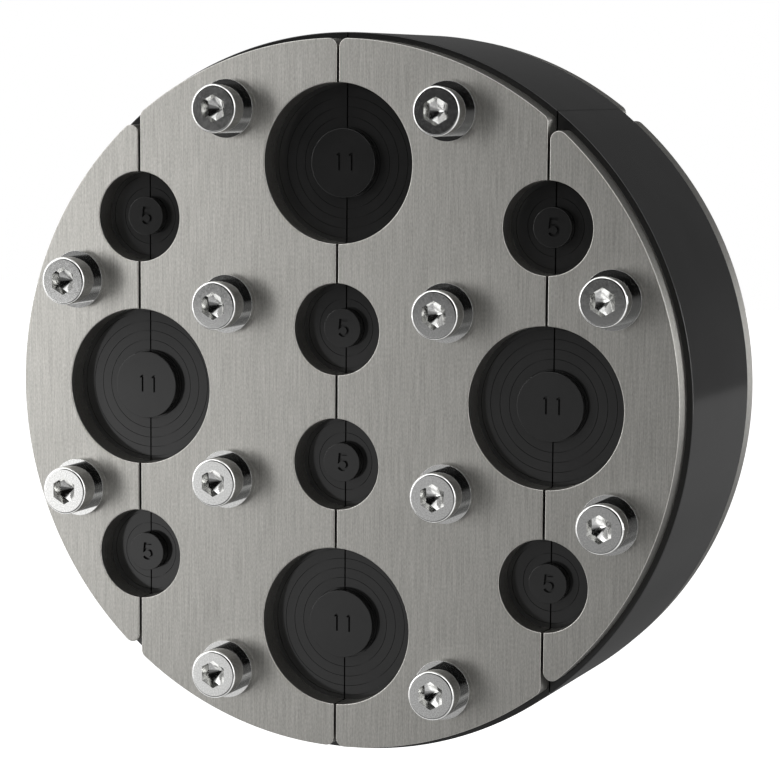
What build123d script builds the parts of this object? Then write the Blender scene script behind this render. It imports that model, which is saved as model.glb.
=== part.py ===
from build123d import *
import os

os.makedirs("parts", exist_ok=True)

# Annular gap seal for a 150 mm core hole, upright as it sits in the wall.
# The seal's axis is Y, the front with the screw heads faces -Y, and +Z is up.
# The origin is the centre of the rubber body. All sizes are in millimetres.

# Rubber body, cut into four segments along three upright split lines
body_d = 147.5
body_w = 40.0
rim_to_split = 28.75
slit = 0.3

# Pressure plates, set back from the rubber's rim so that they clear the wall
front_setback = 1.25
front_plate_t = 5.0
rear_setback = 0.25
rear_plate_t = 5.0
plate_gap = 0.5
corner_r = 1.8

# Cable openings in the plates, all centred on a split line
large_opening_d = 32.5
small_opening_d = 18.7
rim_to_large = 8.85
small_centre_z = 13.8
small_side_z = 35.55

# Blind plugs: a cap on the rubber's front face, and a shaft that comes out behind
large_shaft_d = 11.0
small_shaft_d = 5.0
cap_overhang = 1.5
cap_t = 2.2
shaft_end = 2.0
plug_clearance = 0.1

# Socket cap screws M6, with the thread that stands out of the nut
screw_d = 6.0
head_d = 10.0
head_h = 6.0
head_bevel = 0.45
key_af = 5.0
key_depth = 3.0
thread_end = 3.4

# Washers and nuts
washer_d = 12.0
washer_t = 1.6
washer_clearance = 0.2
nut_af = 10.0
nut_h = 5.0
nut_clearance = 0.05

# Screw holes, and the screws' places: eight on an outer circle near the rim, four further in
hole_clearance = 0.3
rim_to_screw = 9.5
inner_plate_screw_x = 24.2
inner_plate_screw_z = 18.2
outer_plate_screw_angle = 20.5

# What follows from those sizes
split_x = body_d / 2 - rim_to_split
front_plate_d = body_d - 2 * front_setback
rear_plate_d = body_d - 2 * rear_setback
body_face = body_w / 2
washer_seat = body_face + front_plate_t
head_seat = washer_seat + washer_t
nut_seat = body_face + rear_plate_t
screw_length = head_seat + nut_seat + nut_h + thread_end
hole_d = screw_d + 2 * hole_clearance
large_bore_d = large_shaft_d + 2 * plug_clearance
small_bore_d = small_shaft_d + 2 * plug_clearance
large_centre_z = front_plate_d / 2 - rim_to_large - large_opening_d / 2

# Sketches lie in planes across the axis, where local Y is the seal's Z.
# A plane's offset counts towards the front, so the rear has negative offsets.
ACROSS = Plane.XZ

large_places = {
    "top": (0, large_centre_z),
    "left": (-split_x, 0),
    "right": (split_x, 0),
    "bottom": (0, -large_centre_z),
}
small_places = {
    "upper_left": (-split_x, small_side_z),
    "upper_right": (split_x, small_side_z),
    "upper_centre": (0, small_centre_z),
    "lower_centre": (0, -small_centre_z),
    "lower_left": (-split_x, -small_side_z),
    "lower_right": (split_x, -small_side_z),
}


def screw_places():
    """Centres of the twelve screws, the same in all four quarters."""
    circle_r = front_plate_d / 2 - rim_to_screw
    outer_plate = Vector(circle_r, 0).rotate(Axis.Z, outer_plate_screw_angle)
    quarter = [
        (inner_plate_screw_x, (circle_r**2 - inner_plate_screw_x**2) ** 0.5),
        (inner_plate_screw_x, inner_plate_screw_z),
        (outer_plate.X, outer_plate.Y),
    ]
    return [(side * x, level * z) for x, z in quarter for side in (-1, 1) for level in (-1, 1)]


def strips(reach, gap):
    """The four strips between the split lines, each with the X of its two sides."""
    return {
        "left_outer": (-reach, -split_x - gap / 2),
        "left_inner": (-split_x + gap / 2, -gap / 2),
        "right_inner": (gap / 2, split_x - gap / 2),
        "right_outer": (split_x + gap / 2, reach),
    }


def strip_of_disc(sides, disc_d, base, thickness, large_d, small_d, edge_r=0):
    """One strip of a disc with its half-round openings and its screw holes."""
    left, right = sides
    with BuildPart() as piece:
        with BuildSketch(ACROSS.offset(base)) as outline:
            Circle(disc_d / 2)
            with Locations(((left + right) / 2, 0)):
                Rectangle(right - left, disc_d, mode=Mode.INTERSECT)
            if edge_r > 0:
                fillet(outline.vertices(), edge_r)
            with Locations(*large_places.values()):
                Circle(large_d / 2, mode=Mode.SUBTRACT)
            with Locations(*small_places.values()):
                Circle(small_d / 2, mode=Mode.SUBTRACT)
            with Locations(*screw_places()):
                Circle(hole_d / 2, mode=Mode.SUBTRACT)
        extrude(amount=thickness)
    return piece


def blind_plug(centre, shaft_d):
    """A plug that fills one bore, with its cap seated on the rubber's front face."""
    with BuildPart() as plug:
        with BuildSketch(ACROSS.offset(body_face)):
            with Locations(centre):
                Circle(shaft_d / 2 + cap_overhang)
        extrude(amount=cap_t)
        with BuildSketch(ACROSS.offset(body_face)):
            with Locations(centre):
                Circle(shaft_d / 2)
        extrude(amount=-(body_w + shaft_end))
    return plug


def save(piece, name):
    """Label a finished piece and write it out."""
    piece.part.label = name
    export_step(piece.part, f"parts/{name}.step")


# Front pressure plates
for side, edges in strips(front_plate_d / 2, plate_gap).items():
    front_plate = strip_of_disc(
        edges, front_plate_d, body_face, front_plate_t, large_opening_d, small_opening_d, corner_r
    )
    save(front_plate, f"front_plate_{side}")

# Rear pressure plates
for side, edges in strips(rear_plate_d / 2, plate_gap).items():
    rear_plate = strip_of_disc(
        edges, rear_plate_d, -body_face, -rear_plate_t, large_opening_d, small_opening_d, corner_r
    )
    save(rear_plate, f"rear_plate_{side}")

# Rubber segments, bored for the plugs' shafts. Each is one moulding, because its peel-off rings
# are joined to it.
for side, edges in strips(body_d / 2, slit).items():
    segment = strip_of_disc(edges, body_d, -body_face, body_w, large_bore_d, small_bore_d)
    save(segment, f"rubber_segment_{side}")

# Blind plugs
for place, centre in large_places.items():
    save(blind_plug(centre, large_shaft_d), f"blind_plug_{place}")
for place, centre in small_places.items():
    save(blind_plug(centre, small_shaft_d), f"blind_plug_{place}")

# Socket cap screws
with BuildPart() as cap_screws:
    with BuildSketch(ACROSS.offset(head_seat)):
        with Locations(*screw_places()):
            Circle(head_d / 2)
    extrude(amount=head_h)
    chamfer(cap_screws.edges().group_by(Axis.Y)[0], head_bevel)
    with BuildSketch(ACROSS.offset(head_seat + head_h)):
        with Locations(*screw_places()):
            RegularPolygon(key_af / 2, 6, major_radius=False, rotation=30)
    extrude(amount=-key_depth, mode=Mode.SUBTRACT)
    with BuildSketch(ACROSS.offset(head_seat)):
        with Locations(*screw_places()):
            Circle(screw_d / 2)
    extrude(amount=-screw_length)
save(cap_screws, "cap_screws")

# Flat washers under the heads
with BuildPart() as washers:
    with BuildSketch(ACROSS.offset(washer_seat)):
        with Locations(*screw_places()):
            Circle(washer_d / 2)
            Circle(screw_d / 2 + washer_clearance, mode=Mode.SUBTRACT)
    extrude(amount=washer_t)
save(washers, "washers")

# Hexagon nuts on the rear plates
with BuildPart() as nuts:
    with BuildSketch(ACROSS.offset(-nut_seat)):
        with Locations(*screw_places()):
            RegularPolygon(nut_af / 2, 6, major_radius=False, rotation=30)
            Circle(screw_d / 2 + nut_clearance, mode=Mode.SUBTRACT)
    extrude(amount=-nut_h)
save(nuts, "nuts")
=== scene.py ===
import math

import bpy
import numpy as np
from mathutils import Matrix, Vector, geometry


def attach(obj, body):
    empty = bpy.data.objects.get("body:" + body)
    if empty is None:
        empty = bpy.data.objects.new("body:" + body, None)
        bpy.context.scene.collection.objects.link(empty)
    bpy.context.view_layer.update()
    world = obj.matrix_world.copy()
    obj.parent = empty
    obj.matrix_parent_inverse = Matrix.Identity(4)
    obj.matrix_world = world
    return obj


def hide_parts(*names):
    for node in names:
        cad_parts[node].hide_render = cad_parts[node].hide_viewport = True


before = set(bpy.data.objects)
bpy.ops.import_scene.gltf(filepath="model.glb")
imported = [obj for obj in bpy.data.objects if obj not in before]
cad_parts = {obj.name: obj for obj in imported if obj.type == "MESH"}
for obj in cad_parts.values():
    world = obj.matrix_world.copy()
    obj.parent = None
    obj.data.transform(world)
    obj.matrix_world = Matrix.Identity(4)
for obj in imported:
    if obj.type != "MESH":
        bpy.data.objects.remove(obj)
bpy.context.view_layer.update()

# Lengths are in millimetres until a mesh is made, in the CAD's frame: the seal's axis is Y, the
# front faces -Y, +Z is up, and the origin is the rubber body's centre. Flat points are (x, z).
MM = 0.001

# The seal's sizes, as in the CAD
BODY_R = 73.75
BODY_FACE = 20.0
SLIT = 0.3
FRONT_PLATE_R = 72.5
REAR_PLATE_R = 73.5
PLATE_T = 5.0
PLATE_GAP = 0.5
CORNER_R = 1.8
LARGE_OPENING_R = 16.25
SMALL_OPENING_R = 9.35
LARGE_SHAFT_R = 5.5
SMALL_SHAFT_R = 2.5
PLUG_CLEARANCE = 0.1
CAP_OVERHANG = 1.5
CAP_T = 2.2
SHAFT_END = 2.0
SPLIT_X = 45.0
LARGE_Z = 47.4
SMALL_CENTRE_Z = 13.8
SMALL_SIDE_Z = 35.55
SCREW_R = 3.0
HEAD_R = 5.0
HEAD_H = 6.0
KEY_AF = 5.0
KEY_DEPTH = 3.0
THREAD_END = 3.4
WASHER_R = 6.0
WASHER_BORE_R = 3.2
WASHER_T = 1.6
NUT_AF = 10.0
NUT_H = 5.0
NUT_CLEARANCE = 0.05
HOLE_R = 3.3
RIM_TO_SCREW = 9.5
INNER_SCREW_X = 24.2
INNER_SCREW_Z = 18.2
OUTER_SCREW_ANGLE = 20.5
LARGE_BORE_R = LARGE_SHAFT_R + PLUG_CLEARANCE
SMALL_BORE_R = SMALL_SHAFT_R + PLUG_CLEARANCE

# Rounded and chamfered edges that are only here
PLATE_EDGE = 0.2
RUBBER_EDGE = 0.2
CAP_EDGE = 0.1
CAP_FOOT_EDGE = 0.1
SHAFT_EDGE = 0.3
HEAD_EDGE = 0.5
WASHER_EDGE = 0.03
WASHER_BORE_EDGE = 0.1
NUT_BORE_CHAMFER = 0.3
# A nut's end is flat up to this share of its half width, and slopes off from there by so many degrees
NUT_FACE_SHARE = 0.97
NUT_SLOPE = 30.0

# Cuts that are only here; the socket's drill point slopes by so many degrees
SLIT_DEPTH = 1.5
RING_CUT = 0.09
RING_DEPTH = 0.6
LARGE_RINGS = (7.3, 9.35, 11.35, 13.35, 15.3)
SMALL_RINGS = (4.0, 5.9, 8.35)
NUMERAL_DEPTH = 0.6
NUMERAL_HALF_WIDTH = 0.25
ONES_X = (-0.8, 1.95)
KEY_POINT_SLOPE = 30.0

# The thread, which starts inside the nut. A flank over 1 leaves a flat crest, and the root is flat too.
THREAD_START = 4.0
THREAD_PITCH = 1.0
THREAD_DEPTH = 0.55
THREAD_FLANK = 1.35
THREAD_ROOT = 0.15
THREAD_FADE = 0.3
TIP_TAPER = 0.6

# How finely round shapes are cut; steps along arcs are in degrees
EDGE_STEPS = 4
RIM_STEP = 1
NOTCH_STEP = 2.5
RING_STEP = 4
CORNER_STEP = 9
NUMERAL_STEP = 15
HOLE_SIDES = 48
CAP_SIDES = 96
SCREW_SIDES = 64
KEY_SIDES = 48
THREAD_SIDES = 32
THREAD_STEP = 0.1
NUT_SIDES = 72

# A bend of less than 30 degrees between two walls is shaded as one round surface
SMOOTH_BEND = math.cos(math.radians(30))
# A point lies on a line when it is nearer than this
TOUCH = 1e-3
# Points are welded when they round to the same step of this fine scale
WELDS_PER_MM = 1e5
CUT_PRECISION = 1e-6
UV_PER_MM = 0.01

# A screw's finishes, by their places in SCREW_STEELS
POLISHED, GRAINED = 0, 1

LARGE_PLUGS = {
    "top": (0.0, LARGE_Z),
    "left": (-SPLIT_X, 0.0),
    "right": (SPLIT_X, 0.0),
    "bottom": (0.0, -LARGE_Z),
}
SMALL_PLUGS = {
    "upper_left": (-SPLIT_X, SMALL_SIDE_Z),
    "upper_right": (SPLIT_X, SMALL_SIDE_Z),
    "upper_centre": (0.0, SMALL_CENTRE_Z),
    "lower_centre": (0.0, -SMALL_CENTRE_Z),
    "lower_left": (-SPLIT_X, -SMALL_SIDE_Z),
    "lower_right": (SPLIT_X, -SMALL_SIDE_Z),
}


def at_plugs(large, small):
    """Every plug's centre, with what goes with its size."""
    return [(c, large) for c in LARGE_PLUGS.values()] + [(c, small) for c in SMALL_PLUGS.values()]


def screw_places():
    """Centres of the twelve screws."""
    circle_r = FRONT_PLATE_R - RIM_TO_SCREW
    turn = math.radians(OUTER_SCREW_ANGLE)
    quarter = [
        (INNER_SCREW_X, math.sqrt(circle_r**2 - INNER_SCREW_X**2)),
        (INNER_SCREW_X, INNER_SCREW_Z),
        (circle_r * math.cos(turn), circle_r * math.sin(turn)),
    ]
    return [(side * x, level * z) for x, z in quarter for side in (-1, 1) for level in (-1, 1)]


SCREWS = screw_places()


# Flat geometry


def outward(a, b):
    """The direction to the right of the way from a to b, which is outside an anticlockwise loop."""
    along = (b - a) / np.linalg.norm(b - a)
    return np.array([along[1], -along[0]])


def turned(v, t):
    """A flat vector turned by an angle."""
    return np.array([v[0] * math.cos(t) - v[1] * math.sin(t), v[0] * math.sin(t) + v[1] * math.cos(t)])


def turn_between(a, b):
    """The angle from one flat vector to another."""
    return math.atan2(a[0] * b[1] - a[1] * b[0], a @ b)


def arc(centre, radius, start, end, step=NOTCH_STEP):
    """Points along an arc, ends included; angles in radians, step in degrees."""
    count = max(2, round(abs(end - start) / math.radians(step)))
    turns = [start + (end - start) * k / count for k in range(count + 1)]
    return [(centre[0] + radius * math.cos(t), centre[1] + radius * math.sin(t)) for t in turns]


def circle(centre, radius, sides, way=1):
    """Points round a circle, anticlockwise as seen from the front, or clockwise."""
    return arc(centre, radius, 0, way * 2 * math.pi, 360 / sides)[:-1]


def off_flat(t):
    """The angle from the middle of the nearest flat of a hexagon that has a point at the top."""
    return (t + math.pi / 6) % (math.pi / 3) - math.pi / 6


def hexagon_r(across_flats, t):
    """The radius of such a hexagon at an angle."""
    return across_flats / 2 / math.cos(off_flat(t))


def around(centre, r, t, y):
    """The point at a radius, an angle and a height about an axis along Y."""
    return (centre[0] + r * math.cos(t), y, centre[1] + r * math.sin(t))


def loop_normals(loop):
    """For each point of a closed loop, its mitre and the outward normals before and after it."""
    p = np.asarray(loop, float)
    along = np.roll(p, -1, 0) - p
    along /= np.linalg.norm(along, axis=1)[:, None]
    out = np.stack([along[:, 1], -along[:, 0]], 1)
    before = np.roll(out, 1, 0)
    turn = (before * out).sum(1)
    mitre = (before + out) / (1 + turn)[:, None]
    mean = mitre / np.linalg.norm(mitre, axis=1)[:, None]
    smooth = (turn > SMOOTH_BEND)[:, None]
    return p, mitre, np.where(smooth, mean, before), np.where(smooth, mean, out)


def inside(at, loops):
    """Whether each point lies inside an odd number of the closed loops."""
    x, z = np.asarray(at, float).T
    odd = np.zeros(len(x), bool)
    for loop in loops:
        a = np.asarray(loop, float)
        for (x0, z0), (x1, z1) in zip(a, np.roll(a, -1, 0)):
            if z0 != z1:
                odd ^= ((z0 > z) != (z1 > z)) & (x < x0 + (z - z0) * (x1 - x0) / (z1 - z0))
    return odd


def triangles(loops, lines=()):
    """Points, triangles and triangle centres between closed loops, with open lines laid in."""
    points = []
    edges = []
    for loop in loops:
        first = len(points)
        points += [tuple(p) for p in loop]
        edges += [(first + i, first + (i + 1) % len(loop)) for i in range(len(loop))]
    for line in lines:
        first = len(points)
        points += [tuple(p) for p in line]
        edges += [(first + i, first + i + 1) for i in range(len(line) - 1)]
    cut = geometry.delaunay_2d_cdt([Vector(p) for p in points], edges, [], 0, CUT_PRECISION)
    at = np.array([tuple(v) for v in cut[0]])
    # Blender's vectors are less precise than the given points, which the walls use too
    for i, sources in enumerate(cut[3]):
        if sources:
            at[i] = points[sources[0]]
    tris = np.array([list(f) for f in cut[2]])
    centres = at[tris].mean(1)
    keep = inside(centres, loops)
    return at, tris[keep], centres[keep]


def edge_owners(tris, values):
    """Each triangle's value, by its three edges as they run round it."""
    return {
        (int(tri[k]), int(tri[(k + 1) % 3])): value for tri, value in zip(tris, values) for k in range(3)
    }


def stroke(points, half):
    """The outline of a pen stroke of even width."""
    p = np.asarray(points, float)
    along = np.diff(p, axis=0)
    along /= np.linalg.norm(along, axis=1)[:, None]
    side = np.stack([-along[:, 1], along[:, 0]], 1)
    before = np.vstack([side[:1], side])
    after = np.vstack([side, side[-1:]])
    mitre = (before + after) / (1 + (before * after).sum(1))[:, None]
    return [tuple(q) for q in p + mitre * half] + [tuple(q) for q in (p - mitre * half)[::-1]]


# Meshes


class Shell:
    """The faces of one piece, each with a finish and with a normal at each corner."""

    def __init__(self):
        self.points = []
        self.faces = []
        self.normals = []
        self.finishes = []
        self.finish = 0
        self.known = {}

    def point(self, p):
        """The number of a point, which points at the same place share."""
        key = tuple(round(c * WELDS_PER_MM) for c in p)
        if key not in self.known:
            self.known[key] = len(self.points)
            self.points.append(tuple(p))
        return self.known[key]

    def face(self, corners):
        """Add a face from (point, normal) pairs, turned to the side that its normals point to."""
        ring = []
        normals = []
        for p, n in corners:
            i = self.point(p)
            if i not in ring:
                ring.append(i)
                normals.append(n)
        if len(ring) < 3:
            return
        spots = [Vector(self.points[i]) for i in ring]
        across = sum((a.cross(b) for a, b in zip(spots, spots[1:] + spots[:1])), Vector())
        if across.dot(sum((Vector(n) for n in normals), Vector())) < 0:
            ring.reverse()
            normals.reverse()
        self.faces.append(ring)
        self.finishes.append(self.finish)
        self.normals += normals

    def flat_face(self, spots, y, way):
        """Add a face across the axis that looks to the front (-1) or to the rear (1)."""
        self.face([((x, y, z), (0.0, way, 0.0)) for x, z in spots])

    def step(self, a, b, y0, y1):
        """Add the wall between two levels over the edge from a to b, facing what lies left of it."""
        out = outward(a, b)
        into = (-out[0], 0.0, -out[1])
        self.face([((x, y, z), into) for (x, z), y in ((a, y0), (b, y0), (b, y1), (a, y1))])


def edge_rows(front, rear, radius):
    """Rows from the front edge to the rear one, both rounded: inset, Y and the normal's two parts."""
    steps = [(0.0, 0.0, 1.0, 0.0)]
    if radius:
        turns = [k / EDGE_STEPS * math.pi / 2 for k in range(EDGE_STEPS + 1)]
        steps = [
            (radius * (1 - math.sin(t)), radius * (1 - math.cos(t)), math.sin(t), math.cos(t))
            for t in turns
        ]
    rows = [(inset, front + depth, side, -face) for inset, depth, side, face in steps]
    return rows + [(inset, rear - depth, side, face) for inset, depth, side, face in reversed(steps)]


def edge_point(spot, out, row):
    """A point of one of those rows, with its normal."""
    _, y, side, face = row
    return (spot[0], y, spot[1]), (out[0] * side, face, out[1] * side)


def slab(shell, loops, front, rear, edge_r):
    """A flat piece between two planes, with all its edges rounded."""
    rows = edge_rows(front, rear, edge_r)
    caps = []
    for loop in loops:
        p, mitre, before, after = loop_normals(loop)
        caps.append(p - mitre * edge_r)
        for row_a, row_b in zip(rows, rows[1:]):
            a = p - mitre * row_a[0]
            b = p - mitre * row_b[0]
            for i in range(len(p)):
                j = (i + 1) % len(p)
                shell.face([
                    edge_point(a[i], after[i], row_a), edge_point(a[j], before[j], row_a),
                    edge_point(b[j], before[j], row_b), edge_point(b[i], after[i], row_b),
                ])
    at, tris, _ = triangles(caps)
    for tri in tris:
        for y, way in ((front, -1.0), (rear, 1.0)):
            shell.flat_face(at[tri], y, way)


def strips(gap):
    """The four strips between the split lines, each with the X of its two sides."""
    far = 2 * BODY_R
    return {
        "left_outer": (-far, -SPLIT_X - gap / 2),
        "left_inner": (-SPLIT_X + gap / 2, -gap / 2),
        "right_inner": (gap / 2, SPLIT_X - gap / 2),
        "right_outer": (SPLIT_X + gap / 2, far),
    }


def strip_outline(sides, gap, disc_r, corner_r, large_r, small_r):
    """Outline of one strip of the disc, anticlockwise, with the half-round notches in its sides."""
    left, right = sides

    def side(x, inward):
        """A side and its corners as points, and the angles at which it meets the rim."""
        up = -inward
        facing, middle = (0, math.pi) if inward < 0 else (math.pi, 0)
        corner_x = x + inward * corner_r
        corner_z = up * math.sqrt((disc_r - corner_r) ** 2 - corner_x**2)
        first, last = (corner_x, -corner_z), (corner_x, corner_z)
        start, end = math.atan2(first[1], first[0]), math.atan2(last[1], last[0])
        notches = [n for n in at_plugs(large_r, small_r) if abs(n[0][0] - x) < gap]
        points = []
        for centre, radius in sorted(notches, key=lambda n: up * n[0][1]):
            half = math.acos(abs(x - centre[0]) / radius)
            points += arc(centre, radius, middle + half, middle - half)
        if corner_r:
            turned_end = end if inward < 0 else end + 2 * math.pi
            first_corner = arc(first, corner_r, start, facing, CORNER_STEP)
            last_corner = arc(last, corner_r, facing, turned_end, CORNER_STEP)
        else:
            first_corner, last_corner = [first], [last]
        return first_corner + points + last_corner, start, end

    def rim(start, end):
        return arc((0, 0), disc_r, start, end, RIM_STEP)[1:-1]

    if left < -disc_r:
        points, low, high = side(right, -1)
        return points + rim(high, low + 2 * math.pi)
    if right > disc_r:
        points, high, low = side(left, 1)
        return rim(low, high) + points
    right_points, right_low, right_high = side(right, -1)
    left_points, left_high, left_low = side(left, 1)
    return right_points + rim(right_high, left_high) + left_points + rim(left_low, right_low)


def screw_holes(sides):
    """The screw holes of one strip, clockwise."""
    return [circle(c, HOLE_R, HOLE_SIDES, -1) for c in SCREWS if sides[0] < c[0] < sides[1]]


def ring_cuts(sides):
    """The ring cuts in one segment, as (centre, radius), and the lines along both sides of each."""
    cuts = []
    lines = []
    for centre, rings in at_plugs(LARGE_RINGS, SMALL_RINGS):
        for x, middle in ((sides[0], 0), (sides[1], math.pi)):
            if abs(centre[0] - x) > SLIT:
                continue
            for radius in rings:
                cuts.append((centre, radius))
                for r in (radius - RING_CUT / 2, radius + RING_CUT / 2):
                    half = math.acos(abs(x - centre[0]) / r)
                    lines.append(arc(centre, r, middle - half, middle + half, RING_STEP))
    return cuts, lines


def rubber_segment(shell, sides):
    """A rubber segment with its rim rounded and its ring cuts sunk into both faces."""
    rows = edge_rows(-BODY_FACE, BODY_FACE, RUBBER_EDGE)
    cap_r = BODY_R - RUBBER_EDGE
    outline = strip_outline(sides, SLIT, cap_r, 0, LARGE_BORE_R, SMALL_BORE_R)
    cuts, lines = ring_cuts(sides)
    at, tris, centres = triangles([outline] + screw_holes(sides), lines)
    deep = np.zeros(len(tris), bool)
    for centre, radius in cuts:
        deep |= abs(np.hypot(*(centres - centre).T) - radius) < RING_CUT / 2
    levels = np.where(deep, BODY_FACE - RING_DEPTH, BODY_FACE)

    on_rim = np.hypot(*at.T) > cap_r - TOUCH
    owner = edge_owners(tris, levels)
    touching = {}
    for (i, _), level in owner.items():
        touching.setdefault(i, set()).add(level)
    walls = {(i, j): outward(at[i], at[j]) for i, j in owner if (j, i) not in owner}
    meeting = {}
    for (i, j), out in walls.items():
        meeting.setdefault(i, []).append(out)
        meeting.setdefault(j, []).append(out)

    def rim_column(i):
        """The points of one rim corner from front to rear, with their normals."""
        x, z = at[i]
        at_slit = min(abs(x - side) for side in sides) < TOUCH
        column = []
        for row in rows:
            r = BODY_R - row[0]
            if at_slit:
                spot = (x, math.copysign(math.sqrt(r * r - x * x), z))
            else:
                spot = (x * r / cap_r, z * r / cap_r)
            column.append(edge_point(spot, (spot[0] / r, spot[1] / r), row))
        return column

    def wall_column(i, level, out):
        """The points of one corner of a wall from front to rear, with their normals."""
        near = [n for n in meeting[i] if n @ out > SMOOTH_BEND]
        mean = np.sum(near, 0)
        mean /= np.linalg.norm(mean)
        if on_rim[i]:
            points = [p for p, _ in rim_column(i)]
        else:
            depths = sorted(y for y in touching[i] if y <= level)
            points = [(at[i][0], y, at[i][1]) for y in [-d for d in reversed(depths)] + depths]
        return [(p, (mean[0], 0.0, mean[1])) for p in points]

    for (i, j), out in walls.items():
        if on_rim[i] and on_rim[j]:
            a, b = rim_column(i), rim_column(j)
            for k in range(len(rows) - 1):
                shell.face([a[k], b[k], b[k + 1], a[k + 1]])
        else:
            level = owner[(i, j)]
            shell.face(wall_column(i, level, out) + wall_column(j, level, out)[::-1])
    for (i, j), level in owner.items():
        beyond = owner.get((j, i), level)
        if level < beyond:
            for way in (-1, 1):
                shell.step(at[i], at[j], way * level, way * beyond)
    for tri, level in zip(tris, levels):
        for way in (-1.0, 1.0):
            shell.flat_face(at[tri], way * level, way)


def pressed_faces(shell, x):
    """The rubber that fills the slit at x further in, where the segments press on each other."""
    bores = [(c[1], r) for c, r in at_plugs(LARGE_BORE_R, SMALL_BORE_R) if abs(c[0] - x) < SLIT]
    rim = math.sqrt(BODY_R**2 - x**2) - SLIT_DEPTH
    ends = [-rim] + [z + side * r for z, r in sorted(bores) for side in (-1, 1)] + [rim]
    # From just inside the segment on the left to the face of the one on the right
    x0, x1 = x - SLIT, x + SLIT / 2
    for z0, z1 in zip(ends[::2], ends[1::2]):
        block = [(x0, z0), (x1, z0), (x1, z1), (x0, z1)]
        slab(shell, [block], SLIT_DEPTH - BODY_FACE, BODY_FACE - SLIT_DEPTH, 0)


def rounded_profile(points):
    """Bands of a lathe profile from (radius, y, rounding) points, walked from front to rear."""
    spots = [np.array(p[:2], float) for p in points]
    rows = []
    for k, here in enumerate(spots):
        rounding = points[k][2]
        if k in (0, len(points) - 1) or not rounding:
            rows.append([here])
            continue
        back = (spots[k - 1] - here) / np.linalg.norm(spots[k - 1] - here)
        ahead = (spots[k + 1] - here) / np.linalg.norm(spots[k + 1] - here)
        half = math.acos(np.clip(back @ ahead, -1, 1)) / 2
        reach = rounding / math.tan(half)
        middle = back + ahead
        middle = here + middle / np.linalg.norm(middle) * rounding / math.sin(half)
        first = here + back * reach - middle
        sweep = turn_between(first, here + ahead * reach - middle)
        rows.append([middle + turned(first, sweep * t / EDGE_STEPS) for t in range(EDGE_STEPS + 1)])
    bands = []
    for k, row in enumerate(rows):
        if len(row) > 1:
            n = outward(spots[k - 1], spots[k])
            bend = turn_between(n, outward(spots[k], spots[k + 1]))
            bent = [turned(n, bend * t / EDGE_STEPS) for t in range(EDGE_STEPS + 1)]
            bands += zip(zip(row, bent), zip(row[1:], bent[1:]))
        if k + 1 < len(rows):
            n = outward(spots[k], spots[k + 1])
            bands.append(((row[-1], n), (rows[k + 1][0], n)))
    return bands


def lathe(shell, centre, points, sides=SCREW_SIDES):
    """A turned surface about an axis along Y, from its profile's (radius, y, rounding) points."""
    turns = [2 * math.pi * k / sides for k in range(sides)]
    spokes = [(math.cos(t), math.sin(t)) for t in turns]
    for a, b in rounded_profile(points):
        for here, there in zip(spokes, spokes[1:] + spokes[:1]):
            shell.face([
                ((centre[0] + r * c, y, centre[1] + r * s), (nr * c, ny, nr * s))
                for ((r, y), (nr, ny)), (c, s) in ((a, here), (a, there), (b, there), (b, here))
            ])


def numeral_one(x):
    """A plain 1 with a short flag."""
    outline = [(0.2, -1.5), (0.2, 2.1), (-0.1, 2.1), (-0.65, 1.7), (-0.5, 1.4), (-0.2, 1.6), (-0.2, -1.5)]
    return [(x + px, pz) for px, pz in outline]


def numeral_five():
    """A plain 5."""
    line = [(1.2, 1.7), (-0.37, 1.7), (-0.51, 0.22)]
    line += arc((0.25, -0.48), 1.02, math.radians(132), math.radians(-148), NUMERAL_STEP)
    return stroke(line, NUMERAL_HALF_WIDTH)


def blind_plug(shell, centre, shaft_r, numerals):
    """A plug with its number sunk into the cap's face."""
    cap_r = shaft_r + CAP_OVERHANG
    front = -BODY_FACE - CAP_T
    floor = front + NUMERAL_DEPTH
    shapes = [[(centre[0] + x, centre[1] + z) for x, z in shape] for shape in numerals]
    rim = circle(centre, cap_r - CAP_EDGE, CAP_SIDES)
    at, tris, centres = triangles([rim], [shape + shape[:1] for shape in shapes])
    sunk = inside(centres, shapes)
    for tri, low in zip(tris, sunk):
        shell.flat_face(at[tri], floor if low else front, -1.0)
    owner = edge_owners(tris, sunk)
    for (i, j), low in owner.items():
        if low and not owner.get((j, i), True):
            shell.step(at[i], at[j], floor, front)
    lathe(shell, centre, [
        (cap_r - CAP_EDGE, front, 0),
        (cap_r, front, CAP_EDGE),
        (cap_r, -BODY_FACE, CAP_FOOT_EDGE),
        (shaft_r, -BODY_FACE, 0),
        (shaft_r, BODY_FACE + SHAFT_END, SHAFT_EDGE),
        (0, BODY_FACE + SHAFT_END, 0),
    ], CAP_SIDES)


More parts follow.
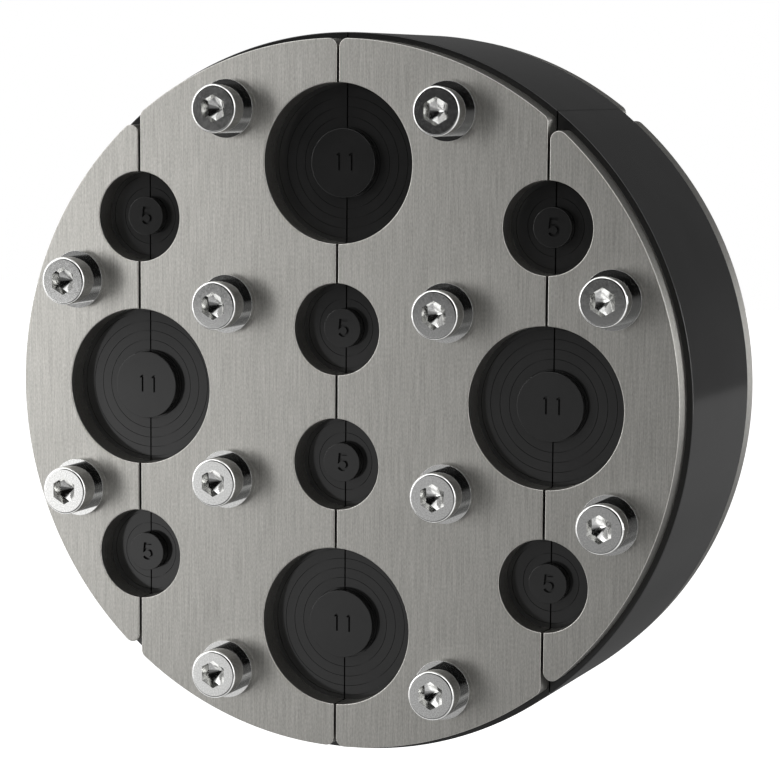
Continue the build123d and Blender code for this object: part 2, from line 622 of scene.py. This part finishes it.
def cap_screw(shell, centre):
    """A socket cap screw: head, hexagon socket, shank and the thread that stands out of the nut."""
    seat = -(BODY_FACE + PLATE_T + WASHER_T)
    front = seat - HEAD_H
    face_r = HEAD_R - HEAD_EDGE
    nut_seat = BODY_FACE + PLATE_T
    slope = math.radians(KEY_POINT_SLOPE)
    corner_r = KEY_AF / math.sqrt(3)
    apex = (centre[0], front + KEY_DEPTH + corner_r * math.tan(slope), centre[1])
    columns = []
    for k in range(KEY_SIDES):
        t = math.radians(30) + 2 * math.pi * k / KEY_SIDES
        r = hexagon_r(KEY_AF, t)
        foot = front + KEY_DEPTH + (corner_r - r) * math.tan(slope)
        columns.append((t, around(centre, r, t, front), around(centre, r, t, foot)))

    shell.finish = GRAINED
    socket = [(top[0], top[2]) for _, top, _ in columns]
    at, tris, _ = triangles([circle(centre, face_r, SCREW_SIDES), socket])
    for tri in tris:
        shell.flat_face(at[tri], front, -1.0)
    for (t0, top0, foot0), (t1, top1, foot1) in zip(columns, columns[1:] + columns[:1]):
        middle = t0 + math.pi / KEY_SIDES
        flat = middle - off_flat(middle)
        inward = (-math.cos(flat), 0.0, -math.sin(flat))
        shell.face([(p, inward) for p in (top0, top1, foot1, foot0)])
        shell.face([
            (p, (-math.sin(slope) * math.cos(t), -math.cos(slope), -math.sin(slope) * math.sin(t)))
            for p, t in ((foot0, t0), (foot1, t1), (apex, middle))
        ])
    shell.finish = POLISHED
    lathe(shell, centre, [
        (face_r, front, 0),
        (HEAD_R, front, HEAD_EDGE),
        (HEAD_R, seat, 0),
        (SCREW_R, seat, 0),
        (SCREW_R, nut_seat + THREAD_START, 0),
        (0, nut_seat + THREAD_START, 0),
    ])
    thread(shell, centre, nut_seat + THREAD_START, nut_seat + NUT_H + THREAD_END)


def thread(shell, centre, start, tip):
    """A helical thread that fades in at its start and narrows at the screw's tip."""
    rows = round((tip - start) / THREAD_STEP)
    turns = [2 * math.pi * k / THREAD_SIDES for k in range(THREAD_SIDES)]

    def radius(t, y):
        phase = (y / THREAD_PITCH - t / (2 * math.pi)) % 1.0
        ridge = min(1.0, max(0.0, THREAD_FLANK * abs(2 * phase - 1) - THREAD_ROOT))
        r = min(SCREW_R - THREAD_DEPTH * (1 - ridge), SCREW_R - TIP_TAPER + (tip - y))
        return SCREW_R - (SCREW_R - r) * min(1.0, (y - start) / THREAD_FADE)

    heights = [start + (tip - start) * m / rows for m in range(rows + 1)]
    grid = [[around(centre, radius(t, y), t, y) for t in turns] for y in heights]
    for lower, upper in zip(grid, grid[1:]):
        for k in range(THREAD_SIDES):
            j = (k + 1) % THREAD_SIDES
            corners = [lower[k], lower[j], upper[j], upper[k]]
            a, b, c, d = (Vector(p) for p in corners)
            n = tuple((d - b).cross(c - a).normalized())
            shell.face([(p, n) for p in corners])
    shell.face([(p, (0.0, -1.0, 0.0)) for p in grid[0]])
    shell.face([(p, (0.0, 1.0, 0.0)) for p in grid[-1]])


def washer(shell, centre):
    """A flat washer with softened edges. Its profile starts and ends halfway along the bore."""
    rear = -(BODY_FACE + PLATE_T)
    front = rear - WASHER_T
    halfway = rear - WASHER_T / 2
    lathe(shell, centre, [
        (WASHER_BORE_R, halfway, 0),
        (WASHER_BORE_R, front, WASHER_BORE_EDGE),
        (WASHER_R, front, WASHER_EDGE),
        (WASHER_R, rear, WASHER_EDGE),
        (WASHER_BORE_R, rear, WASHER_BORE_EDGE),
        (WASHER_BORE_R, halfway, 0),
    ])


def nut(shell, centre):
    """A hexagon nut with chamfered corners and a chamfered bore."""
    near = BODY_FACE + PLATE_T
    far = near + NUT_H
    bore_r = SCREW_R + NUT_CLEARANCE
    face_r = NUT_AF / 2 * NUT_FACE_SHARE
    slope = math.radians(NUT_SLOPE)
    columns = []
    for k in range(NUT_SIDES):
        t = 2 * math.pi * k / NUT_SIDES
        r = hexagon_r(NUT_AF, t)
        columns.append((t, r, (r - face_r) * math.tan(slope)))
    for (t0, r0, drop0), (t1, r1, drop1) in zip(columns, columns[1:] + columns[:1]):
        middle = t0 + math.pi / NUT_SIDES
        flat = middle - off_flat(middle)
        out = (math.cos(flat), 0.0, math.sin(flat))
        shell.face([
            (around(centre, r0, t0, near + drop0), out), (around(centre, r1, t1, near + drop1), out),
            (around(centre, r1, t1, far - drop1), out), (around(centre, r0, t0, far - drop0), out),
        ])
        for y, way in ((near, -1), (far, 1)):
            n0, n1 = (
                (math.sin(slope) * math.cos(t), way * math.cos(slope), math.sin(slope) * math.sin(t))
                for t in (t0, t1)
            )
            shell.face([
                (around(centre, face_r, t0, y), n0), (around(centre, face_r, t1, y), n1),
                (around(centre, r1, t1, y - way * drop1), n1), (around(centre, r0, t0, y - way * drop0), n0),
            ])
    lathe(shell, centre, [
        (face_r, far, 0),
        (bore_r + NUT_BORE_CHAMFER, far, 0),
        (bore_r, far - NUT_BORE_CHAMFER, 0),
        (bore_r, near + NUT_BORE_CHAMFER, 0),
        (bore_r + NUT_BORE_CHAMFER, near, 0),
        (face_r, near, 0),
    ], NUT_SIDES)


def piece(name, node, materials, shell):
    """Make the mesh, in metres, and let it stand for its CAD node."""
    mesh = bpy.data.meshes.new(name)
    mesh.from_pydata([tuple(c * MM for c in p) for p in shell.points], [], shell.faces)
    mesh.polygons.foreach_set("use_smooth", [True] * len(mesh.polygons))
    mesh.normals_split_custom_set(shell.normals)
    layer = mesh.uv_layers.new(name="grain")
    corners = np.array(shell.points)[np.concatenate(shell.faces)]
    layer.data.foreach_set("uv", (corners[:, (0, 2)] * UV_PER_MM).astype(np.float32).ravel())
    for material in materials:
        mesh.materials.append(material)
    mesh.polygons.foreach_set("material_index", shell.finishes)
    made = bpy.data.objects.new(name, mesh)
    bpy.context.scene.collection.objects.link(made)
    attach(made, "root")
    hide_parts(node)
    return made


# Materials


class Nodes:
    """A short way to write a node tree."""

    def __init__(self, tree):
        self.tree = tree
        tree.nodes.clear()

    def add(self, kind, **values):
        node = self.tree.nodes.new(kind)
        for key, value in values.items():
            setattr(node, key, value)
        return node

    def link(self, source, target):
        self.tree.links.new(source, target)


def new_material(name):
    """A material with an empty node tree."""
    material = bpy.data.materials.new(name)
    material.use_nodes = True
    return material, Nodes(material.node_tree)


def show(n, shader, kind="ShaderNodeOutputMaterial"):
    """Join a shader to the tree's output."""
    n.link(shader, n.add(kind).inputs["Surface"])


def calculated(n, operation, *values):
    """The result of a maths node on sockets and numbers."""
    made = n.add("ShaderNodeMath", operation=operation)
    for socket, value in zip(made.inputs, values):
        if isinstance(value, float):
            socket.default_value = value
        else:
            n.link(value, socket)
    return made.outputs[0]


def grain(n, detail, stretch, seed):
    """Noise on the object's own coordinates, stretched along the axes; stretch is per millimetre."""
    where = n.add("ShaderNodeTexCoord")
    mapping = n.add("ShaderNodeMapping")
    mapping.inputs["Scale"].default_value = [s / MM for s in stretch]
    mapping.inputs["Location"].default_value = (seed, seed * 0.7, seed * 1.3)
    n.link(where.outputs["Object"], mapping.inputs["Vector"])
    noise = n.add("ShaderNodeTexNoise")
    noise.inputs["Scale"].default_value = 1.0
    noise.inputs["Detail"].default_value = detail
    n.link(mapping.outputs["Vector"], noise.inputs["Vector"])
    return noise.outputs["Fac"]


def ramp(n, source, low, high, start=0.3, end=0.7):
    """A value or colour that runs from low to high as the source does from start to end."""
    made = n.add("ShaderNodeValToRGB")
    made.color_ramp.elements[0].position = start
    made.color_ramp.elements[1].position = end
    for element, value in zip(made.color_ramp.elements, (low, high)):
        element.color = (*value, 1) if isinstance(value, tuple) else (value, value, value, 1)
    n.link(source, made.inputs["Fac"])
    return made.outputs["Color"]


def blended(n, measure, start, end, first, second):
    """The first colour up to a start value of the measure, the second from an end value on."""
    share = n.add("ShaderNodeMapRange", interpolation_type="SMOOTHSTEP")
    share.inputs["From Min"].default_value = start
    share.inputs["From Max"].default_value = end
    n.link(measure, share.inputs["Value"])
    blend = n.add("ShaderNodeMix", data_type="RGBA")
    n.link(share.outputs[0], blend.inputs["Factor"])
    n.link(first, blend.inputs["A"])
    n.link(second, blend.inputs["B"])
    return blend.outputs["Result"]


def principled(name, metallic):
    """A material with its shader joined to its output."""
    material, n = new_material(name)
    shader = n.add("ShaderNodeBsdfPrincipled")
    show(n, shader.outputs["BSDF"])
    shader.inputs["Metallic"].default_value = metallic
    return material, n, shader


def vary(n, shader, socket, source, value, low, high):
    """A shader value or colour that a pattern takes down and up by the two shares."""
    ends = (
        tuple(c * share for c in value) if isinstance(value, tuple) else value * share
        for share in (low, high)
    )
    n.link(ramp(n, source, *ends), shader.inputs[socket])


def bump(n, shader, height, distance_mm, strength):
    """Surface relief from a value."""
    made = n.add("ShaderNodeBump")
    made.inputs["Strength"].default_value = strength
    made.inputs["Distance"].default_value = distance_mm * MM
    n.link(height, made.inputs["Height"])
    n.link(made.outputs["Normal"], shader.inputs["Normal"])


def brushed_steel(name):
    """Stainless plate brushed up and down."""
    material, n, shader = principled(name, 1.0)
    long_streaks = grain(n, detail=3.0, stretch=(4.0, 4.0, 0.1), seed=3.1)
    short_streaks = grain(n, detail=2.0, stretch=(4.5, 4.5, 1.5), seed=6.3)
    streaks = calculated(n, "MULTIPLY", calculated(n, "ADD", long_streaks, short_streaks), 0.5)
    steel = ramp(n, streaks, low=(0.36, 0.352, 0.33), high=(0.53, 0.519, 0.49), start=0.36, end=0.64)
    n.link(steel, shader.inputs["Base Color"])
    fine = grain(n, detail=3.0, stretch=(6.0, 6.0, 0.2), seed=8.4)
    n.link(ramp(n, fine, low=0.32, high=0.38), shader.inputs["Roughness"])
    bump(n, shader, streaks, distance_mm=0.01, strength=0.3)
    return material


def bright_steel(name, base, rough):
    """Bright steel with a fine grain."""
    material, n, shader = principled(name, 1.0)
    specks = grain(n, detail=2.0, stretch=(3.5, 3.5, 3.5), seed=1.7)
    vary(n, shader, "Base Color", specks, base, low=0.86, high=1.1)
    polish = grain(n, detail=2.0, stretch=(2.0, 2.0, 2.0), seed=5.2)
    vary(n, shader, "Roughness", polish, rough, low=0.8, high=1.2)
    return material


def rubber(name, base, rough):
    """Black rubber with a faint skin."""
    material, n, shader = principled(name, 0.0)
    clouds = grain(n, detail=4.0, stretch=(0.08, 0.08, 0.08), seed=2.3)
    vary(n, shader, "Base Color", clouds, base, low=0.85, high=1.15)
    skin = grain(n, detail=2.0, stretch=(1.2, 1.2, 1.2), seed=6.9)
    vary(n, shader, "Roughness", skin, rough, low=0.9, high=1.1)
    bump(n, shader, skin, distance_mm=0.004, strength=0.3)
    return material


SCREW_COLOUR = (0.70, 0.70, 0.69)
RUBBER_COLOUR = (0.024, 0.024, 0.024)
PLATE_STEEL = brushed_steel("plate_steel_brushed")
SCREW_STEELS = [
    bright_steel("screw_steel_polished", SCREW_COLOUR, 0.06),
    bright_steel("screw_steel_grained", SCREW_COLOUR, 0.12),
]
SEAL_RUBBER = rubber("seal_rubber_black", RUBBER_COLOUR, 0.12)
PLUG_RUBBER = rubber("plug_rubber_black", RUBBER_COLOUR, 0.12)


# The seal

for side, edges in strips(PLATE_GAP).items():
    for end, radius, y0, y1 in (
        ("front", FRONT_PLATE_R, -BODY_FACE - PLATE_T, -BODY_FACE),
        ("rear", REAR_PLATE_R, BODY_FACE, BODY_FACE + PLATE_T),
    ):
        shell = Shell()
        outline = strip_outline(edges, PLATE_GAP, radius, CORNER_R, LARGE_OPENING_R, SMALL_OPENING_R)
        slab(shell, [outline] + screw_holes(edges), y0, y1, PLATE_EDGE)
        node = f"{end}_plate_{side}"
        piece(f"{node}_brushed", node, [PLATE_STEEL], shell)

for side, edges in strips(SLIT).items():
    shell = Shell()
    rubber_segment(shell, edges)
    if edges[1] < BODY_R:
        pressed_faces(shell, edges[1] + SLIT / 2)
    node = f"rubber_segment_{side}"
    piece(f"{node}_ringed", node, [SEAL_RUBBER], shell)

for plugs, shaft_r, numerals in (
    (LARGE_PLUGS, LARGE_SHAFT_R, [numeral_one(x) for x in ONES_X]),
    (SMALL_PLUGS, SMALL_SHAFT_R, [numeral_five()]),
):
    for place, centre in plugs.items():
        shell = Shell()
        blind_plug(shell, centre, shaft_r, numerals)
        node = f"blind_plug_{place}"
        piece(f"{node}_numbered", node, [PLUG_RUBBER], shell)

for node, name, make in (
    ("cap_screws", "cap_screws_threaded", cap_screw),
    ("washers", "washers_softened", washer),
    ("nuts", "nuts_chamfered", nut),
):
    shell = Shell()
    for centre in SCREWS:
        make(shell, centre)
    piece(name, node, SCREW_STEELS, shell)


# Camera, fitted to the photograph's view; places here and below are in metres

CAMERA_AT = Vector((0.2232486, -0.5323599, 0.0643184))
CAMERA_RIGHT = Vector((0.92274994, 0.3853349, 0.00703985))
CAMERA_DOWN = Vector((0.04984015, -0.10119788, -0.9936171))
CAMERA_AHEAD = Vector((-0.38216293, 0.91721099, -0.11258549))

scene = bpy.context.scene
camera_data = bpy.data.cameras.new("camera")
camera_data.sensor_width = 36.0
camera_data.lens = 126.61
camera_data.clip_start = 0.01
camera_data.clip_end = 50.0
camera = bpy.data.objects.new("camera", camera_data)
camera.matrix_world = Matrix.Translation(CAMERA_AT) @ Matrix(
    (CAMERA_RIGHT, -CAMERA_DOWN, -CAMERA_AHEAD)
).transposed().to_4x4()
scene.collection.objects.link(camera)
scene.camera = camera


# Studio: a white world and floor to look at, which light the seal only dimly

BACKGROUND_RAYS = ("Is Camera Ray", "Is Glossy Ray", "Is Transmission Ray")
AMBIENT = 0.35
FLOOR_GREY = 0.6
FLOOR_Z = -0.75
FLOOR_REACH = 9.0


def background_ray(n):
    """One where the ray is one that should see a white background."""
    path = n.add("ShaderNodeLightPath")
    out = path.outputs[BACKGROUND_RAYS[0]]
    for ray in BACKGROUND_RAYS[1:]:
        out = calculated(n, "MAXIMUM", out, path.outputs[ray])
    return out


def white_background(n, strength):
    """A white world shader."""
    made = n.add("ShaderNodeBackground")
    made.inputs["Color"].default_value = (1, 1, 1, 1)
    made.inputs["Strength"].default_value = strength
    return made.outputs[0]


def stage_piece(name, points, faces, material):
    """A piece of the studio."""
    mesh = bpy.data.meshes.new(name)
    mesh.from_pydata(points, [], faces)
    mesh.materials.append(material)
    made = bpy.data.objects.new(name, mesh)
    scene.collection.objects.link(made)
    return made


world = bpy.data.worlds.new("studio")
scene.world = world
world.use_nodes = True
n = Nodes(world.node_tree)
mix = n.add("ShaderNodeMixShader")
n.link(background_ray(n), mix.inputs[0])
n.link(white_background(n, AMBIENT), mix.inputs[1])
n.link(white_background(n, 1.0), mix.inputs[2])
show(n, mix.outputs[0], "ShaderNodeOutputWorld")

floor_material, n = new_material("studio_floor")
matte = n.add("ShaderNodeBsdfDiffuse")
matte.inputs["Color"].default_value = (FLOOR_GREY, FLOOR_GREY, FLOOR_GREY, 1)
shown = n.add("ShaderNodeEmission")
n.link(background_ray(n), shown.inputs["Strength"])
both = n.add("ShaderNodeAddShader")
n.link(matte.outputs[0], both.inputs[0])
n.link(shown.outputs[0], both.inputs[1])
show(n, both.outputs[0])

corners = [(x * FLOOR_REACH, y * FLOOR_REACH, FLOOR_Z) for x, y in ((-1, -1), (1, -1), (1, 1), (-1, 1))]
stage_piece("floor", corners, [(0, 1, 2, 3)], floor_material)


# Surroundings that only reflections see: a floor card and a round wall, in grey levels by azimuth,
# which is 0 in front, 90 to the right and 180 behind

UNDER_LEVELS = ((-180, 0.8), (-90, 1.3), (-60, 1.3), (-30, 0.8), (0, 0.8), (60, 0.9), (120, 0.8), (180, 0.8))
NEAR_LEVELS = (
    (-180, 0.12), (-169, 0.1), (-155, 0.12), (-140, 0.6), (-125, 1.4), (-95, 1.4), (-75, 0.9), (-60, 0.5),
    (-45, 0.22), (-22, 0.2), (5, 0.15), (20, 0.5), (30, 0.55), (42, 0.75), (52, 1.4), (85, 1.5), (105, 0.4),
    (140, 0.2), (166, 0.17), (174, 0.17), (180, 0.12),
)
FAR_LEVELS = (
    (-180, 0.12), (-160, 0.1), (-145, 0.4), (-125, 1.0), (-95, 1.2), (-60, 1.2), (-45, 1.5), (-36, 2.0),
    (-32.5, 1.62), (-29.5, 1.24), (-26, 0.77), (-22, 0.52), (-18.5, 0.37), (-15, 0.3), (-5, 0.22),
    (5, 0.14), (30, 0.12), (42, 0.4), (52, 1.2), (85, 1.4), (105, 0.6), (140, 0.35), (157, 0.33),
    (161, 0.26), (174, 0.16), (180, 0.12),
)
LOW_LEVELS = (
    (-180, 0.085), (-150, 0.1), (-135, 0.6), (-125, 1.0), (-95, 1.3), (-80, 1.2), (-60, 1.0), (-45, 0.4),
    (-31, 0.5), (-28.5, 0.15), (-26, 0.03), (-16, 0.02), (0, 0.05), (10, 0.1), (40, 0.1), (50, 1.2),
    (70, 1.8), (90, 1.6), (105, 0.5), (125, 0.2), (140, 0.11), (180, 0.085),
)
WALL_LEVELS = (
    (-180, 0.085), (-150, 0.1), (-135, 0.6), (-125, 1.0), (-95, 1.5), (-60, 1.5), (-43, 1.5), (-35, 0.6),
    (-30, 0.15), (-26, 0.03), (-16, 0.02), (0, 0.005), (43, 0.005), (49, 1.9), (56, 2.4), (80, 2.4),
    (105, 0.5), (125, 0.2), (140, 0.11), (180, 0.085),
)
HIGH_LEVELS = (
    (-180, 0.03), (-150, 0.03), (-125, 1.4), (-75, 2.4), (-55, 2.3), (-45, 2.0), (-30, 2.5), (-10, 2.2),
    (5, 1.1), (25, 1.3), (45, 2.2), (75, 2.2), (110, 1.2), (150, 0.03), (180, 0.03),
)
BEHIND_LEVELS = ((-180, 1.3), (-166, 1.5), (165, 0.5), (172, 0.9), (180, 1.3))
LEVELS = (UNDER_LEVELS, NEAR_LEVELS, FAR_LEVELS, LOW_LEVELS, WALL_LEVELS, HIGH_LEVELS, BEHIND_LEVELS)
# Each pair is where one set of levels starts to give way to the next, and where it has
UNDER_REACH = (0.35, 0.6)
NEAR_REACH = (1.9, 2.7)
WALL_FOOT = (-0.75, -0.66)
WALL_SKIRT = (-0.4, 0.9)
WALL_HEAD = (6.2, 7.0)
# The card behind fills a cone about the seal's axis, given by its half angles in degrees
BEHIND_CONE = (14.5, 11.5)
WALL_TOP = 24.0
WALL_R = 8.2
BACK_R = 7.2
WALL_STEP = 5
CARD_Z = FLOOR_Z + 0.002


def glow_round(n, turn, stops):
    """Grey levels round the seal, from (azimuth in degrees, level) stops."""
    made = n.add("ShaderNodeValToRGB")
    elements = made.color_ramp.elements
    while len(elements) < len(stops):
        elements.new(0.5)
    for element, (azimuth, level) in zip(elements, stops):
        element.position = (azimuth + 180) / 360
        element.color = (level, level, level, 1)
    n.link(turn, made.inputs["Fac"])
    return made.outputs["Color"]


around_material, n = new_material("surroundings")
where = n.add("ShaderNodeTexCoord").outputs["Object"]
parts = n.add("ShaderNodeSeparateXYZ")
n.link(where, parts.inputs[0])
x, y, z = parts.outputs
turn = n.add("ShaderNodeMapRange")
turn.inputs["From Min"].default_value = -math.pi
turn.inputs["From Max"].default_value = math.pi
n.link(calculated(n, "ARCTAN2", x, calculated(n, "MULTIPLY", y, -1.0)), turn.inputs["Value"])
flat = n.add("ShaderNodeCombineXYZ")
n.link(x, flat.inputs["X"])
n.link(y, flat.inputs["Y"])
reach = n.add("ShaderNodeVectorMath", operation="LENGTH")
n.link(flat.outputs[0], reach.inputs[0])
distance = n.add("ShaderNodeVectorMath", operation="LENGTH")
n.link(where, distance.inputs[0])
behind_share = calculated(n, "DIVIDE", y, distance.outputs["Value"])
under, near, far, low, wall, high, behind = (glow_round(n, turn.outputs[0], stops) for stops in LEVELS)
level = blended(n, reach.outputs["Value"], *UNDER_REACH, under, near)
level = blended(n, reach.outputs["Value"], *NEAR_REACH, level, far)
level = blended(n, z, *WALL_FOOT, level, low)
level = blended(n, behind_share, *(math.cos(math.radians(half)) for half in BEHIND_CONE), level, behind)
level = blended(n, z, *WALL_SKIRT, level, wall)
level = blended(n, z, *WALL_HEAD, level, high)
glow = n.add("ShaderNodeEmission")
n.link(level, glow.inputs["Color"])
show(n, glow.outputs[0])

turns = [math.radians(t) for t in range(0, 360, WALL_STEP)]
ring = [(WALL_R * math.sin(t), (BACK_R if math.cos(t) > 0 else WALL_R) * math.cos(t)) for t in turns]
count = len(ring)
surroundings = stage_piece(
    "surroundings",
    [(x, y, z) for z in (CARD_Z, WALL_TOP) for x, y in ring],
    [tuple(range(count))] + [(k, (k + 1) % count, (k + 1) % count + count, k + count) for k in range(count)],
    around_material,
)
surroundings.visible_camera = False
surroundings.visible_diffuse = False
surroundings.visible_shadow = False
surroundings.visible_transmission = False


# Lamps

LAMP_DISTANCE = 5.0


def softbox(name, azimuth, elevation, width, height, radiance):
    """A rectangular lamp aimed at the seal. Azimuth is as above; width and height are the angles that
    it fills. All are in degrees."""
    a, e = math.radians(azimuth), math.radians(elevation)
    where = Vector((math.sin(a) * math.cos(e), -math.cos(a) * math.cos(e), math.sin(e))) * LAMP_DISTANCE
    data = bpy.data.lights.new(name, "AREA")
    data.shape = "RECTANGLE"
    data.size = 2 * LAMP_DISTANCE * math.tan(math.radians(width / 2))
    data.size_y = 2 * LAMP_DISTANCE * math.tan(math.radians(height / 2))
    data.energy = radiance * math.pi * data.size * data.size_y
    lamp = bpy.data.objects.new(name, data)
    lamp.matrix_world = Matrix.Translation(where) @ where.to_track_quat("Z", "Y").to_matrix().to_4x4()
    scene.collection.objects.link(lamp)


softbox("key_left", azimuth=-43, elevation=6.7, width=16.4, height=28.9, radiance=3.45)
softbox("rim_right", azimuth=138, elevation=3, width=16, height=20, radiance=6.5)

scene.view_settings.view_transform = "Standard"
